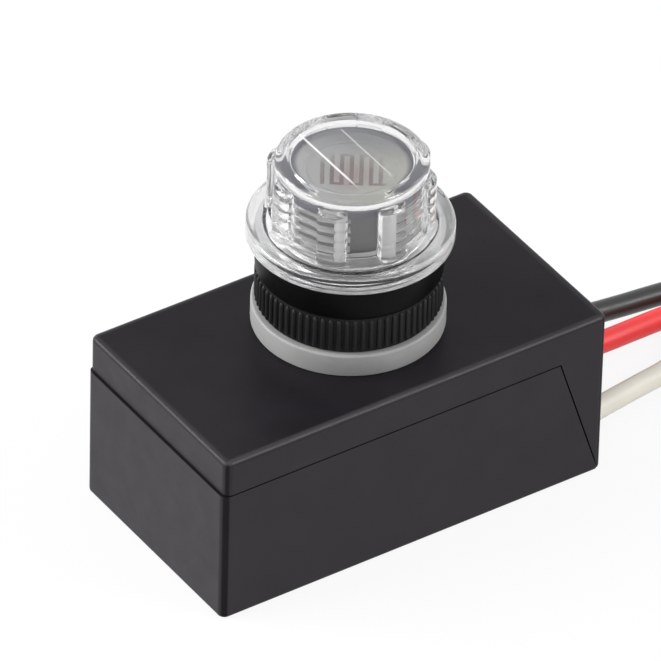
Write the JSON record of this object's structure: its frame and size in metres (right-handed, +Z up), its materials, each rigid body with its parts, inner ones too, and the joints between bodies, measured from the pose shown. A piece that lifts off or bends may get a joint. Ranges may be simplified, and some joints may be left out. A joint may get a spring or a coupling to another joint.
{
  "type": "photocell switch",
  "caption": "Small black boxed photocell switch with a threaded neck, grey gasket, ribbed ring nut and clear lobed lens cap over its light cell, and black, red and white flying leads.",
  "frame": {"origin": "middle of the case's length and width, on the surface that its flat underside stands on", "axes": "+X along the case's length towards the end that the leads leave, +Y across its width, +Z up along the neck"},
  "size_m": [0.1118, 0.0446, 0.047],
  "materials": {
    "case_plastic": "satin black moulding",
    "gasket_rubber": "plain grey rubber",
    "nut_plastic": "satin black moulding",
    "clear_plastic": "clear polished moulding",
    "holder_plastic": "plain white moulding",
    "cell_ceramic": "lacquered ceramic",
    "cell_film": "red-brown light-sensitive film",
    "tinned_metal": "dull tin",
    "board_laminate": "brown laminate",
    "relay_plastic": "blue moulding",
    "film_plastic": "yellow moulding",
    "can_sleeve": "dark shrink sleeve",
    "varistor_coat": "blue dipped coat",
    "moulded_black": "black moulding",
    "resistor_coat": "beige lacquer",
    "black_insulation": "smooth black insulation",
    "red_insulation": "smooth red insulation",
    "white_insulation": "smooth off-white insulation",
    "tie_plastic": "black tie"
  },
  "bodies": {
    "root": {"base_tray": "case_plastic", "top_cover": "case_plastic", "gasket": "gasket_rubber", "ring_nut": "nut_plastic", "lens_cap": "clear_plastic", "cell_holder": "holder_plastic", "cell_disc": "cell_ceramic", "cell_track": "cell_film", "cell_electrodes": "tinned_metal", "cell_wires": "tinned_metal", "circuit_board": "board_laminate", "relay": "relay_plastic", "film_capacitor": "film_plastic", "smoothing_capacitor": "can_sleeve", "varistor": "varistor_coat", "transistor": "moulded_black", "diodes": "moulded_black", "resistors": "resistor_coat", "solder_joints": "tinned_metal", "lead_tails": "tinned_metal", "black_lead": "black_insulation", "red_lead": "red_insulation", "white_lead": "white_insulation", "lead_coil": "black_insulation", "lead_tie": "tie_plastic"}
  },
  "joints": []
}
